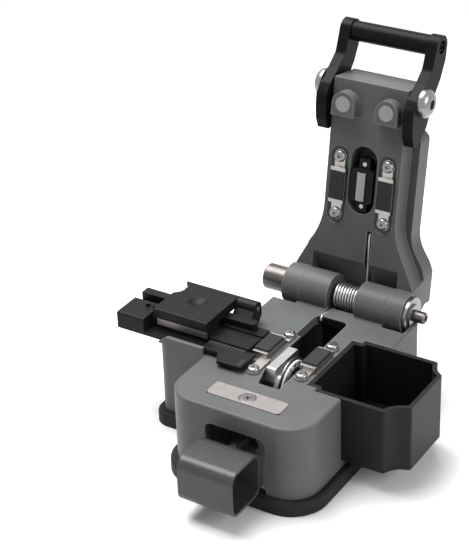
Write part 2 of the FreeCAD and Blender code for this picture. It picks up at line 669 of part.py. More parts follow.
def make_lid_fittings():
    bushes = []
    for start in ("0 - knuckle_end + 0.05", "knuckle_seam + 0.05"):
        bushes.append(tube("bush", "bush_r", "shaft_r + running", start,
                           "knuckle_end - knuckle_seam - 0.1"))
    magnets = []
    for x in ("magnet_x", "0 - magnet_x"):
        magnets.append(on_lid_disc("magnet", x, "magnet_v", "magnet_r",
                                   "face - boss_drop - 0.1", "3"))
    guides = [on_lid_disc("guide", "0", v, "guide_r", "face + 0.7", "recess_deep + 0.3")
              for v in GUIDE_HEIGHTS]
    return [group("lid_bushes", *bushes), group("lid_magnets", *magnets),
            group("anvil_guides", *guides)]


def on_lid_disc(label, x, v, radius, depth, length):
    """A pin or disc that runs straight into the lid from a depth behind its hinge plane."""
    item = DOC.addObject("Part::Cylinder", label)
    bind(item, "Radius", radius)
    bind(item, "Height", length)
    return face_up_on_lid(item, x, v, "%s + %s" % (depth, length))


def make_anvil():
    """The sprung anvil: a holder with an ear at each end that rides on the two guide pins,
    the steel bar that presses on the fibre, and the springs behind the ears."""
    holder = Piece("anvil_holder")
    holder.slab("XY", ("0 - 4.4", "0 - 6"), ("4.4", "6"), "0", "6.3")
    for v in ("0 - 7.8", "7.8"):
        holder.slab("XY", ("0 - 2.1", "%s - 2.1" % v), ("2.1", "%s + 2.1" % v), "1.5", "3.4")
    for v in ("0 - 7.8", "7.8"):
        holder.disc("XY", "0", v, "guide_r + 0.06", "0 - 1", "9", hollow=True)
    holder.corners("Z", [("4.4", "6"), ("4.4", "0 - 6"), ("0 - 4.4", "6"), ("0 - 4.4", "0 - 6")],
                   "1.2")
    face_up_on_lid(holder.body, "0", "anvil_v", "face + 5.6")
    bar = Piece("anvil_bar")
    profile = [("0 - 1.6", "0"), ("1.6", "0"), ("1.6", "0.6"), ("0.7", "1"), ("0 - 0.7", "1"),
               ("0 - 1.6", "0.6")]
    bar.prism("XZ", profile, "0 - 5.2", "10.4")
    face_up_on_lid(bar.body, "0", "anvil_v", "face - 0.7")
    springs = []
    for v in GUIDE_HEIGHTS:
        outside = on_lid_disc("spring_outside", "0", v, "guide_r + 0.7", "face + 4.2", "3.7")
        bore = on_lid_disc("spring_bore", "0", v, "guide_r + 0.2", "face + 3.2", "5.7")
        springs.append(cut("spring", outside, bore))
    return [holder.body, bar.body, group("anvil_springs", *springs)]


# --------------------------------------------------------------------------------- handle

def make_handle():
    """Two cranked arms outside the lid, joined by the bar that the fingers hold."""
    outline = [("1", "60"), ("4", "60.5"), ("9.5", "66"), ("13", "76"), ("17", "82"),
               ("19.3", "88"), ("grip_depth + grip_eye", "grip_v"),
               ("grip_depth - grip_eye", "grip_v"), ("9.6", "86"), ("5.3", "81.5"), ("0", "77"),
               ("0 - 2.2", "73.5"), ("0 - 2.2", "69.5"), ("0 - 1.2", "64")]
    made = []
    for name, start, inner in (("left", "0 - arm_outer", "0 - plate_half - arm_gap"),
                               ("right", "plate_half + arm_gap", "plate_half + arm_gap")):
        piece = Piece("handle_arm_" + name)
        piece.prism("YZ", outline, start, "arm_thick")
        piece.disc("YZ", "grip_depth", "grip_v", "grip_eye", start, "arm_thick")
        piece.corners("X", [outline[0], outline[1]], "1")
        piece.corners("X", [outline[2], outline[3], outline[4], outline[8], outline[9]], "4")
        piece.corners("X", outline[10:13], "2.5")
        piece.disc("YZ", "pivot_depth", "pivot_v", "pivot_r + 0.06", start + " - 1",
                   "arm_thick + 2", hollow=True)
        piece.disc("YZ", "grip_depth", "grip_v", "1.3", start + " - 1", "arm_thick + 2",
                   hollow=True)
        sink = "0 - arm_outer - 1" if name == "left" else "arm_outer - 1.7"
        piece.disc("YZ", "grip_depth", "grip_v", "2.4", sink, "2.7", hollow=True)
        made.append(on_lid(piece.body))
    bar = Piece("handle_bar")
    reach = "plate_half + arm_gap"
    bar.disc("YZ", "grip_depth", "grip_v", "grip_r", "0 - (%s)" % reach, "2 * (%s)" % reach)
    for start in ("0 - (%s) - 1" % reach, "%s - 8" % reach):
        bar.disc("YZ", "grip_depth", "grip_v", "1.25", start, "9", hollow=True)
    made.append(on_lid(bar.body))
    return made


# ------------------------------------------------------------------- carriage and its blade

def make_rail():
    """A rail with undercut flanks, screwed down through the bottom plate."""
    piece = Piece("guide_rail")
    low = "housing_floor + 1.9"
    profile = [("rail_half", low), ("rail_half", low + " + 1.4"), ("rail_half - 0.8", low + " + 2"),
               ("rail_half - 0.8", "rail_top - 2"), ("rail_half", "rail_top - 1.4"),
               ("rail_half", "rail_top")]
    piece.prism("XZ", mirrored(profile), "0 - 20", "50")
    for y in RAIL_SEATS:
        piece.disc("XY", "0", y, "1.02", "0", "rail_top - 1", hollow=True)
    return piece.body


def make_carriage():
    block = Piece("carriage_block")
    side = "rail_half + 0.1"
    low, high = "rail_top - 3", "rail_top + 6"
    profile = [("0 - 10", low), ("0 - (%s)" % side, low), ("0 - (%s)" % side, "rail_top + 0.1"),
               (side, "rail_top + 0.1"), (side, low), ("8", low), ("8", high), ("0 - 10", high)]
    block.prism("XZ", profile, "0 - 16", "22")
    block.corners("Y", [("8", high), ("0 - 10", high)], "1")
    bracket = Piece("blade_bracket")
    plate = [("0 - 16", high), ("4", high), ("4", "wheel_z + 2"), ("0 - 1", "wheel_z + 5"),
             ("0 - 11", "wheel_z + 5"), ("0 - 16", "wheel_z - 2")]
    bracket.prism("YZ", plate, "axle_x", "wheel_x - axle_x - 0.05")
    bracket.corners("X", plate[2:5], "2")
    bracket.disc("YZ", "0 - wheel_y", "wheel_z", "axle_r + 0.02", "axle_x - 1", "5", hollow=True)
    leaf = Piece("blade_leaf")
    shape = [("0 - 13", "29.2"), ("0 - 11", "33.6"), ("4.5", "33.6"), ("4.5", "29.2")]
    leaf.prism("YZ", shape, "0 - 3.9", "3.9 + axle_x - 0.01")
    leaf.corners("X", shape[1:3], "0.8")
    screw_body = Piece("blade_screw")
    start = "wheel_x + wheel_thick + 0.05"
    screw_body.turned([("axle_x", "0"), ("axle_x", "axle_r"), (start, "axle_r"),
                       (start, "axle_r + 1.3"), (start + " + 1.2", "axle_r + 1.3"),
                       (start + " + 1.6", "axle_r + 0.9"), (start + " + 1.6", "0")])
    screw_body.slab("XY", (start + " + 0.9", "0 - 0.4"), (start + " + 3", "0.4"), "0 - 5", "10",
                    hollow=True)
    place(screw_body.body, "0", "0 - wheel_y", "wheel_z")
    pull = Piece("pull_rod")
    pull.slab("XZ", ("axle_x", "18"), ("wheel_x - 0.05", "21"), "0 - tab_back", "tab_back - 16")
    return [block.body, bracket.body, leaf.body, screw_body.body, pull.body, make_tab()]


def make_tab():
    """The square sleeve that the thumb pushes, open from side to side."""
    piece = Piece("pull_tab")
    front, back = "0 - tab_front", "0 - tab_back"
    outer = [(front, "tab_low"), (back, "tab_low"), (back, "tab_high"), (front, "tab_high")]
    piece.prism("YZ", outer, "tab_x - tab_half", "2 * tab_half")
    piece.corners("X", outer, "tab_corner")
    ends = [value("tab_x - tab_half"), value("tab_x + tab_half")]
    piece.shell("tab_wall", lambda face: any(abs(face.CenterOfMass.x - x) < 0.01 for x in ends))
    return piece.body


def make_blade():
    disc = Piece("blade_disc")
    inner = "axle_r + 0.05"
    start, end = "wheel_x", "wheel_x + wheel_thick"
    disc.turned([(start, inner), (start, "wheel_r - 0.9"), (start + " + 0.45", "wheel_r"),
                 (end + " - 0.45", "wheel_r"), (end, "wheel_r - 0.9"), (end, inner)])
    dial = Piece("blade_dial")
    dial.turned([(end, "dial_in"), (end, "dial_out - 0.4"), (end + " + 0.5", "dial_out - 0.4"),
                 (end + " + 0.7", "dial_out - 0.7"), (end + " + 0.7", "dial_in + 0.2"),
                 (end + " + 0.5", "dial_in")])
    return [place(piece.body, "0", "0 - wheel_y", "wheel_z") for piece in (disc, dial)]


# --------------------------------------------------------------------------- fibre holder

def make_holder():
    """The sliding fibre holder: a shelf with blocks on it, a groove for the cable, a tongue
    that runs in the housing and a lug at the back for the cover's pin."""
    rail = Piece("holder_rail")
    floor = "body_top + holder_gap"
    left, right = "0 - holder_left", "0 - holder_right"
    front, rear = "0 - holder_front", "holder_rear"
    block_front = "0 - block_half"
    rail.slab("XY", (left, front), (right, rear), floor, "shelf_top - body_top - holder_gap")
    rail.slab("XY", (left, front), ("0 - end_right", rear), "shelf_top - 0.1",
              "end_top - shelf_top + 0.1")
    rail.corners("X", [(front, "end_top")], "0.8")
    rail.slab("XY", ("0 - end_right - 0.1", block_front), ("0 - block_right", rear),
              "shelf_top - 0.1", "block_top - shelf_top + 0.1")
    rail.slab("XY", ("0 - block_right - 0.1", block_front), (right, rear), "shelf_top - 0.1",
              "floor_top - shelf_top + 0.1")
    wall_end = "0 - 17"
    rail.slab("XY", ("0 - block_right - 0.1", "groove_half + 0.2"), (wall_end, rear),
              "floor_top - 0.1", "end_top - 0.5 - floor_top + 0.1")
    rail.corners("Z", [(wall_end, rear), (wall_end, "groove_half + 0.2")], "1.6")
    lug = [(rear + " - 0.5", "body_top + 0.3"), ("cover_hinge_y", "body_top + 0.3"),
           ("cover_hinge_y + barrel_r", "body_top + 3"),
           ("cover_hinge_y + barrel_r", "cover_hinge_z"),
           ("cover_hinge_y - barrel_r", "cover_hinge_z"), (rear + " - 0.5", "floor_top")]
    rail.prism("YZ", lug, "0 - block_right", "block_right - lug_right")
    rail.disc("YZ", "cover_hinge_y", "cover_hinge_z", "barrel_r", "0 - block_right",
              "block_right - lug_right")
    rail.slab("XY", ("0 - 46", "0 - 7"), ("0 - 24", "0 - 1"), "body_top - 2.2",
              "2.2 + holder_gap + 0.1")
    rail.slab("XY", ("0 - holder_left - 1", "0 - groove_half"), ("0 - block_right", "groove_half"),
              "groove_floor", "9", hollow=True)
    rail.slab("XY", ("0 - block_right - 1", "0 - 1.1"), ("0 - 11", "1.1"), "groove_floor - 0.6",
              "9", hollow=True)
    rail.disc("YZ", "cover_hinge_y", "cover_hinge_z", "pin_r + 0.02", "0 - block_right - 1",
              "block_right - lug_right + 2", hollow=True)
    for x in ("0 - 57", "0 - 54"):
        rail.disc("XY", x, "0 - 4.6", "0.9", "end_top - 0.1", "1.1")
    pin = rod("cover_pin", "X", "pin_r", "cover_left - lug_right + 0.3", "0 - cover_left",
              "cover_hinge_y", "cover_hinge_z")
    strip = box("cover_strip", "0 - cover_left + 1.2", "0 - block_half - 0.5",
                "block_top - 2.8", "cover_left - block_right - 1.6", "0.5", "2.6")
    return [rail.body, pin, strip, make_holder_plate()] + make_cover()


def make_holder_plate():
    """The plate with the finger tab and two rows of ruler ridges."""
    piece = Piece("holder_plate")
    rear = "0 - block_half - 0.1"
    outline = [("0 - 28.5", rear), ("0 - 28.5", "0 - holder_front"),
               ("0 - 22", "0 - holder_front"), ("0 - 19.6", "0 - tab_reach"),
               ("0 - plate_right", "0 - tab_reach"), ("0 - plate_right", rear)]
    piece.prism("XY", outline, "shelf_top", "plate_top - shelf_top")
    piece.corners("Z", outline[2:5], "0.8")
    along = piece.slab("XY", ("0 - 28", rear + " - 1.5"), ("0 - 27.5", rear), "plate_top - 0.1",
                       "0.4")
    repeat(piece, along, "X_Axis", "14", 15)
    across = piece.slab("XY", ("0 - plate_right - 2.2", "0 - tab_reach + 0.8"),
                        ("0 - plate_right - 0.5", "0 - tab_reach + 1.3"), "plate_top - 0.1",
                        "0.4")
    repeat(piece, across, "Y_Axis", "3.2", 5)
    return piece.body


def repeat(piece, feature, axis, length, count):
    """Repeat a feature in an even row along an axis of its body."""
    item = piece.body.newObject("PartDesign::LinearPattern", "row")
    item.Originals = [feature]
    line = [one for one in piece.body.Origin.OriginFeatures if one.Role == axis][0]
    item.Direction = (line, [""])
    bind(item, "Length", length)
    item.Occurrences = count
    piece.body.Tip = item
    DOC.recompute()
    return item


def make_cover():
    """The hinged cover, dished for a fingertip and scooped out round the cable's entry."""
    shell = Piece("holder_cover_shell")
    left, right = "0 - cover_left", "0 - cover_right"
    front = "0 - cover_front"
    shell.slab("XY", (left, front), (right, "cover_hinge_y"), "cover_low",
               "cover_top - cover_low")
    shell.corners("X", [(front, "cover_top")], "0.8")
    shell.disc("YZ", "cover_hinge_y", "cover_hinge_z", "barrel_r", left,
               "cover_left - cover_right")
    shell.disc("YZ", "cover_hinge_y", "cover_hinge_z", "pin_r + 0.05", left + " - 1",
               "cover_left - cover_right + 2", hollow=True)
    shell.disc("XY", "0 - cover_left - 2.5", "8", "5", "body_top", "20", hollow=True)
    ball = DOC.addObject("Part::Sphere", "fingertip")
    bind(ball, "Radius", "7.3")
    place(ball, "0 - 39.5", "1.5", "cover_top + 6.1")
    cover = cut("holder_cover", shell.body, ball)
    pad = box("cover_pad", "0 - 49", "0 - 1.7", "cover_low - 1.4", "17", "3.6", "1.4")
    return [cover, pad]


# ------------------------------------------------------------------------------ scrap bin

def make_bin():
    """The drawer that catches fibre ends: its outer corners are fluted for two fingers."""
    piece = Piece("scrap_bin")
    front, rear = "0 - bin_front + bin_gap", "bin_rear - bin_gap"
    inner = "bin_inner + bin_gap"
    outline = [(inner, front + " + bin_step"), ("bin_step_x", front + " + bin_step"),
               ("bin_step_x", front), ("bin_outer", front), ("bin_outer", rear),
               ("bin_step_x", rear), ("bin_step_x", rear + " - bin_step"),
               (inner, rear + " - bin_step")]
    piece.prism("XY", outline, "bin_low", "body_top - bin_low")
    piece.disc("XY", "bin_outer + 0.95", front + " - 1.9", "bin_flute", "0", "body_top + 5",
               hollow=True)
    piece.disc("XY", "bin_outer + 3.27", rear + " + 0.6", "bin_flute", "0", "body_top + 5",
               hollow=True)
    top = value("body_top")
    piece.shell("bin_wall", lambda face: abs(face.CenterOfMass.z - top) < 0.01)
    ridges = [("bin_outer", front + " - 1.9 + sqrt(bin_flute^2 - 0.95^2)"),
              ("bin_outer + 0.95 - sqrt(bin_flute^2 - 1.9^2)", front),
              ("bin_outer", rear + " + 0.6 - sqrt(bin_flute^2 - 3.27^2)"),
              ("bin_outer + 3.27 - sqrt(bin_flute^2 - 0.6^2)", rear)]
    piece.corners("Z", ridges, "ridge_round")
    return piece.body


# ---------------------------------------------------------------------- screws everywhere

def make_screws():
    small = screw("small_screw", 2.2, 1.3, 1, 3.2, 1.1)
    long = screw("lid_screw", 2.2, 1.3, 1, 4.5, 1.1)
    sunk = screw("sunk_screw", 2.2, 0, 1.2, 8, 1, sunk=True)
    rail = screw("rail_screw", 2.1, 0, 1, 5.5, 1, sunk=True)
    keeper = screw("countersunk_screw", 3, 0, 1.5, 3.4, 1.5, sunk=True)
    shoulder = screw("shoulder_screw", 3.6, 2.5, 2, 10.5, 1.5)
    grip = screw("grip_screw", 2.2, 1.4, 1.2, 7.5, 1.1)
    floor = "housing_floor"
    lower = [((x, y, "body_top + clamp_base"), UPRIGHT) for x, y in CLAMP_SEATS]
    upper = [((x, "face", "hinge_y" + away + "clamp_reach"), FACING_FRONT)
             for x in ("pad_x", "0 - pad_x") for away in (" - ", " + ")]
    pivots = [(("arm_outer + 0.1", "pivot_depth", "pivot_v"), FACING_RIGHT),
              (("0 - arm_outer - 0.1", "pivot_depth", "pivot_v"), FACING_LEFT)]
    grips = [(("arm_outer - 1.7", "grip_depth", "grip_v"), FACING_RIGHT),
             (("1.7 - arm_outer", "grip_depth", "grip_v"), FACING_LEFT)]
    keeper_seat = ("0", "0 - keeper_y", "body_top + keeper_proud - 0.07")
    return [copies("clamp_screws", small, lower),
            copies("bottom_screws", sunk, [((x, y, floor), FACING_DOWN) for x, y in PLATE_SEATS]),
            copies("rail_screws", rail, [(("0", y, floor), FACING_DOWN) for y in RAIL_SEATS]),
            copies("keeper_screw", keeper, [(keeper_seat, UPRIGHT)]),
            on_lid(copies("upper_screws", long, upper)),
            on_lid(copies("pivot_screws", shoulder, pivots)),
            on_lid(copies("bar_screws", grip, grips))]


# -------------------------------------------------------------------- building and export

SUB_PARTS = [make_boot(), make_housing().body, make_bottom_plate().body, make_keeper()]
SUB_PARTS += make_lower_clamps() + make_upper_clamps() + make_hinge()
SUB_PARTS += [make_lid()] + make_lid_fittings() + make_anvil() + make_handle()
SUB_PARTS += [make_rail()] + make_carriage() + make_blade()
SUB_PARTS += make_holder() + [make_bin()] + make_screws()
DOC.recompute()

for item in DOC.Objects:
    if "Invalid" in item.State or "Error" in item.State:
        raise RuntimeError("%s failed to build" % item.Label)

os.makedirs("parts", exist_ok=True)
for item in SUB_PARTS:
    if item.Shape.isNull() or not item.Shape.isValid():
        raise RuntimeError("%s has no valid shape" % item.Label)
    item.Shape.exportStep("parts/%s.step" % item.Label)
    print("%-20s %3d solids %10.1f mm3" % (item.Label, len(item.Shape.Solids), item.Shape.Volume))
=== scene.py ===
# %% [markdown]
# # A fibre cleaver, dressed for its portrait
#
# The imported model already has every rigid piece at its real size, so this notebook gives
# each of them its finish and adds the things that are better made as meshes: the coiled
# springs, the screws' heads and the wheel's numbers.  Everything is in metres, in the frame
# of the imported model.

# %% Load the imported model
import json
import math

import bmesh
import bpy
from mathutils import Matrix, Vector


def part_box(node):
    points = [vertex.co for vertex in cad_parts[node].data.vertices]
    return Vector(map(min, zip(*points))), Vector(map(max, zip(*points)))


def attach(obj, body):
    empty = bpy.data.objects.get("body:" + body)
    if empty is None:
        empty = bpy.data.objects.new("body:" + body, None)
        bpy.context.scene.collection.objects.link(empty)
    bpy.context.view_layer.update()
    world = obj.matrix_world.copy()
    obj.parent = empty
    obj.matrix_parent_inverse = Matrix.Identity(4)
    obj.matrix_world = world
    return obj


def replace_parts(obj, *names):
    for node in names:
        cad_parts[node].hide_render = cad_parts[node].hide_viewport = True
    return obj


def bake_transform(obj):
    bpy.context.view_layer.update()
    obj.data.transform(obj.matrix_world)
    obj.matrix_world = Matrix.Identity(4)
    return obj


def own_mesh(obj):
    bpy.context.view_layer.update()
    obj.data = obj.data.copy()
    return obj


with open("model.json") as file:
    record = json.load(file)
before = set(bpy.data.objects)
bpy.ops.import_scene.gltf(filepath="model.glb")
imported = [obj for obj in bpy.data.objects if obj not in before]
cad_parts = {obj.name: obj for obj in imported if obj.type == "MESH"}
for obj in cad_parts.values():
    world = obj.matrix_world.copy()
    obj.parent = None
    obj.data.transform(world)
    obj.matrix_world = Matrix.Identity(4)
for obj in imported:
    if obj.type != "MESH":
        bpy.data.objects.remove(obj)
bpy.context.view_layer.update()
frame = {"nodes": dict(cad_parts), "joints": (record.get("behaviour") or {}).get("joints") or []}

MM = 0.001
print("nodes loaded:", len(frame["nodes"]))

# %% [markdown]
# ## Where things are
#
# The lid leans back, so its own directions are worked out once: LID_UP runs along the lid
# and LID_OUT comes straight out of its inner face.  A small piece that belongs to the lid
# is then placed with those two directions instead of with typed coordinates.

# %% The lid's directions
LEAN = math.radians(10)
HINGE = Vector((0, 40.5, 35.6)) * MM
LID_UP = Vector((0, math.sin(LEAN), math.cos(LEAN)))
LID_OUT = Vector((0, -math.cos(LEAN), math.sin(LEAN)))
MAGNET_UP = 71


def on_lid(x, depth, up):
    """A point of the lid in millimetres: sideways, behind the hinge's middle, and along it."""
    return HINGE + Vector((x, 0, 0)) * MM - LID_OUT * depth * MM + LID_UP * up * MM


print("magnet height above the floor:", round(on_lid(0, 0, MAGNET_UP).z / MM, 1), "mm")

# %% [markdown]
# ## Shader maths as plain expressions
#
# A material is a small calculation: noise times a strength plus a colour.  Wrapping a
# socket in a class with Python's operators lets that calculation be read as one, while the
# class adds the Math and Mix nodes behind it.  Every node comes from its one method, which
# takes the node's type, its settings and what goes into its sockets.

# %% A socket that can be added, multiplied and mixed


def feed(tree, socket, value):
    """Link a signal or a socket to a socket, or set the socket to a plain value."""
    if isinstance(value, Signal):
        tree.links.new(value.socket, socket)
    elif isinstance(value, bpy.types.NodeSocket):
        tree.links.new(value, socket)
    elif isinstance(value, (tuple, list)) and socket.type == "RGBA":
        socket.default_value = tuple(value)[:3] + (1.0,)
    else:
        socket.default_value = value


class Signal:
    """An output socket of a node tree, with arithmetic."""

    def __init__(self, tree, socket=None):
        self.tree = tree
        self.socket = socket

    def node(self, kind, settings=None, sockets=None, output=0):
        """Add a node, set it up, fill its sockets and return one of its outputs."""
        item = self.tree.nodes.new(kind)
        for name, value in (settings or {}).items():
            setattr(item, name, value)
        for name, value in (sockets or {}).items():
            feed(self.tree, item.inputs[name], value)
        return Signal(self.tree, item.outputs[output])

    def maths(self, operation, other=0.0):
        return self.node("ShaderNodeMath", {"operation": operation}, {0: self, 1: other})

    def __add__(self, other):
        return self.maths("ADD", other)

    __radd__ = __add__

    def __mul__(self, other):
        return self.maths("MULTIPLY", other)

    __rmul__ = __mul__

    def __sub__(self, other):
        return self.maths("SUBTRACT", other)

    def __rsub__(self, other):
        return (self * -1) + other

    def between(self, low, high):
        """Stretch the span from low to high over 0 to 1, and clamp it."""
        return self.node("ShaderNodeMapRange", None,
                         {"Value": self, "From Min": low, "From Max": high}, "Result")

    def mix(self, first, second):
        """Blend two colours by this value."""
        return self.node("ShaderNodeMix", {"data_type": "RGBA"},
                         {"Factor": self, "A": first, "B": second}, "Result")


print("signals ready")

# %% [markdown]
# ## What a finish is made of
#
# Each finish is one Principled shader, whose colour and roughness vary a little from place to
# place, because an even surface looks like plastic.  The place is taken from the piece's own
# coordinates, so that a pattern moves along with it.  The painted highlight along an edge, a
# lighter line in the colour, comes from comparing the real direction of the surface with a
# rounded one.

# %% A finish and the textures that feed it


def tint(colour, factor):
    """A colour made lighter or darker."""
    return [part * factor for part in colour]


class Finish:
    """A material with one Principled shader, and the textures that feed it."""

    def __init__(self, name, colour, roughness, metallic=0.0):
        self.material = bpy.data.materials.new(name)
        self.material.use_nodes = True
        self.tree = self.material.node_tree
        self.shader = next(n for n in self.tree.nodes if n.type == "BSDF_PRINCIPLED")
        self.set("Base Color", colour)
        self.set("Roughness", roughness)
        self.set("Metallic", metallic)
        self.place = Signal(self.tree).node("ShaderNodeTexCoord", output="Object")

    def set(self, name, value):
        feed(self.tree, self.shader.inputs[name], value)

    def noise(self, per_mm, detail=3.0, stretch=(1, 1, 1)):
        """Noise with a number of lumps per millimetre, drawn out by a stretch."""
        scaled = self.place.node("ShaderNodeMapping", None, {
            "Vector": self.place, "Scale": [per_mm / MM * part for part in stretch]})
        return self.place.node("ShaderNodeTexNoise", None, {
            "Vector": scaled, "Scale": 1.0, "Detail": detail}, "Fac")

    def along(self, axis):
        """The place along X, Y or Z, in metres."""
        return self.place.node("ShaderNodeSeparateXYZ", None, {0: self.place}, axis)

    def inside(self, low, high, soft=0.1):
        """1 inside a box between two corners in millimetres, and 0 outside it."""
        mask = 1.0
        for axis, first, last in zip("XYZ", low, high):
            line = self.along(axis)
            mask = line.between(first * MM, (first + soft) * MM) * mask
            mask = line.between(last * MM, (last - soft) * MM) * mask
        return mask

    def rounded(self, radius_mm, samples):
        """The surface's direction as if its edges were rounded to a radius."""
        return self.place.node("ShaderNodeBevel", {"samples": samples},
                               {"Radius": radius_mm * MM})

    def bump(self, height, depth_mm, soften_mm):
        """Raise the surface by a height signal, over edges softened to a radius."""
        self.set("Normal", self.place.node("ShaderNodeBump", None, {
            "Distance": depth_mm * MM, "Height": height,
            "Normal": self.rounded(soften_mm, 4)}))

    def edges(self, width_mm, low=0.015, high=0.16):
        """1 along the piece's edges and 0 on its faces: how far a rounded normal turns away."""
        flat = self.place.node("ShaderNodeNewGeometry", output="Normal")
        turn = self.place.node("ShaderNodeVectorMath", {"operation": "DOT_PRODUCT"},
                               {0: self.rounded(width_mm, 6), 1: flat}, "Value")
        return (1 - turn).between(low, high)


print("shader helpers ready")

# %% [markdown]
# ## Satin paint on the housing and the lid
#
# Sprayed paint on a casting isn't flat: it has a very fine orange-peel texture and slight
# clouding.  Two noises do it: a fine one for the bump and the gloss, and a broad faint one for
# the colour.  The edges catch the light because the coat is rounded there, which the Bevel node
# gives without changing the mesh, and a much lighter grey painted along them adds a painted
# highlight.

# %% Paint
GREY = (0.092, 0.098, 0.095)
# Near-black painted inside the housing's recesses: painted shade.
RECESS_SHADE_BLACK = (0.008, 0.008, 0.008)


def grey_paint(name, excluded=()):
    """The paint; inside the boxes given, it is painted near-black as painted shade in the
    recesses.
    """
    finish = Finish(name, GREY, 0.42)
    peel = finish.noise(3.2, detail=4)
    cloud = finish.noise(0.06, detail=2)
    clouded = cloud.between(0.3, 0.7).mix(tint(GREY, 0.93), tint(GREY, 1.07))
    # A much lighter grey painted along the edges: a painted highlight.
    shade = (finish.edges(0.55, 0.01, 0.13) * 0.85).mix(clouded, tint(GREY, 2.8))
    # Inside each box the colour is painted near-black: painted shade in the slot and the front
    # opening.
    for low, high in excluded:
        shade = finish.inside(low, high).mix(shade, RECESS_SHADE_BLACK)
    finish.set("Base Color", shade)
    finish.set("Roughness", 0.36 + peel * 0.14)
    finish.bump(peel, 0.012, soften_mm=0.45)
    finish.set("Specular IOR Level", 0.2)
    return finish.material


# %% [markdown]
# ## Black rubber, black plastic and black anodising
#
# Three blacks that must not look alike.  Rubber is matt with a dusty grain, moulded plastic
# has a soft spark-eroded texture and a low sheen, and anodised metal is the smoothest of
# them, with fine turning marks that stretch its highlights.

# %% The blacks
# Lighter grey painted on the ruler's ridges: a painted highlight.
RIDGE_HIGHLIGHT_GREY = (0.075, 0.075, 0.075)


def black_rubber(name="boot_rubber_black", colour=(0.013, 0.013, 0.014)):
    finish = Finish(name, colour, 0.62)
    grain = finish.noise(2.5, detail=5)
    finish.set("Base Color", grain.between(0.35, 0.75).mix(colour, tint(colour, 1.7)))
    finish.set("Roughness", 0.5 + grain * 0.22)
    finish.set("Specular IOR Level", 0.15)
    finish.bump(grain, 0.02, soften_mm=0.35)
    return finish.material


def black_plastic():
    colour = (0.0105, 0.0105, 0.011)
    finish = Finish("bin_plastic_black", colour, 0.4)
    spark = finish.noise(4.0, detail=5)
    sparked = spark.between(0.3, 0.8).mix(colour, tint(colour, 1.4))
    # A lighter grey painted along the edges: a painted highlight.
    finish.set("Base Color", (finish.edges(0.3) * 0.6).mix(sparked, (0.05, 0.05, 0.05)))
    finish.set("Roughness", 0.32 + spark * 0.2)
    finish.set("Specular IOR Level", 0.14)
    finish.bump(spark, 0.015, soften_mm=0.4)
    return finish.material


def black_anodised(name, colour, roughness=0.38, sheen=0.17, edge_highlight=0.35, rows=()):
    """Anodised metal; a row of ruler ridges is two corners, an axis, a pitch and a start."""
    finish = Finish(name, colour, roughness)
    grain = finish.noise(1.6, detail=4, stretch=(0.25, 1, 1))
    grained = grain.between(0.3, 0.8).mix(tint(colour, 0.85), tint(colour, 1.25))
    # A lighter colour painted along the edges, by the given strength: a painted highlight.
    shade = (finish.edges(0.2) * edge_highlight).mix(grained, [0.03 + c * 2 for c in colour])
    for low, high, axis, pitch, start in rows:
        step = ((finish.along(axis) - start * MM) * (1 / (pitch * MM))).maths("FRACT")
        # Stripes painted lighter over each ridge: painted highlights.
        ridge = finish.inside(low, high) * step.between(0.55, 0.45)
        shade = ridge.mix(shade, RIDGE_HIGHLIGHT_GREY)
    finish.set("Base Color", shade)
    finish.set("Roughness", (roughness - 0.08) + grain * 0.16)
    finish.set("Specular IOR Level", sheen)
    finish.bump(grain, 0.01, soften_mm=0.25)
    return finish.material


# %% [markdown]
# ## Bare metals
#
# Steel is mostly its reflections.  What tells ground, turned and plated steel apart is the
# direction of the marks in it: long scratches on the keeper, rings on the shaft, and hardly
# any on a plated screw.  A noise stretched along one direction gives the marks.  The dial's
# white enamel and the ink of its numbers are made here too.

# %% Steel, enamel and ink


def bright_steel(name, colour, roughness, stretch=(1, 1, 1), marks=3.0, soften=0.12):
    finish = Finish(name, colour, roughness, metallic=1.0)
    scratch = finish.noise(marks, detail=4, stretch=stretch)
    cloud = finish.noise(0.25, detail=2)
    finish.set("Base Color", cloud.between(0.3, 0.7).mix(tint(colour, 0.88), colour))
    finish.set("Roughness", (roughness - 0.06) + scratch * 0.14)
    finish.bump(scratch, 0.006, soften_mm=soften)
    return finish.material


def dial_enamel():
    colour = (0.86, 0.86, 0.85)
    finish = Finish("dial_white_enamel", colour, 0.4)
    dust = finish.noise(1.5, detail=3)
    finish.set("Base Color", dust.between(0.45, 0.8).mix(colour, tint(colour, 0.9)))
    finish.set("Roughness", 0.34 + dust * 0.12)
    return finish.material


def number_ink():
    colour = (0.012, 0.012, 0.012)
    finish = Finish("dial_number_ink", colour, 0.5)
    wear = finish.noise(3.0, detail=2)
    finish.set("Base Color", wear.between(0.55, 0.8).mix(colour, (0.05, 0.05, 0.05)))
    return finish.material


print("recipes ready")

# %% [markdown]
# ## One material for each finish
#
# The recipes above are now called once for each finish of the object.  The inside of the top
# slot and of the front opening is painted near-black in the housing's paint, as painted shade,
# so the paint is told where they are, as boxes in millimetres.

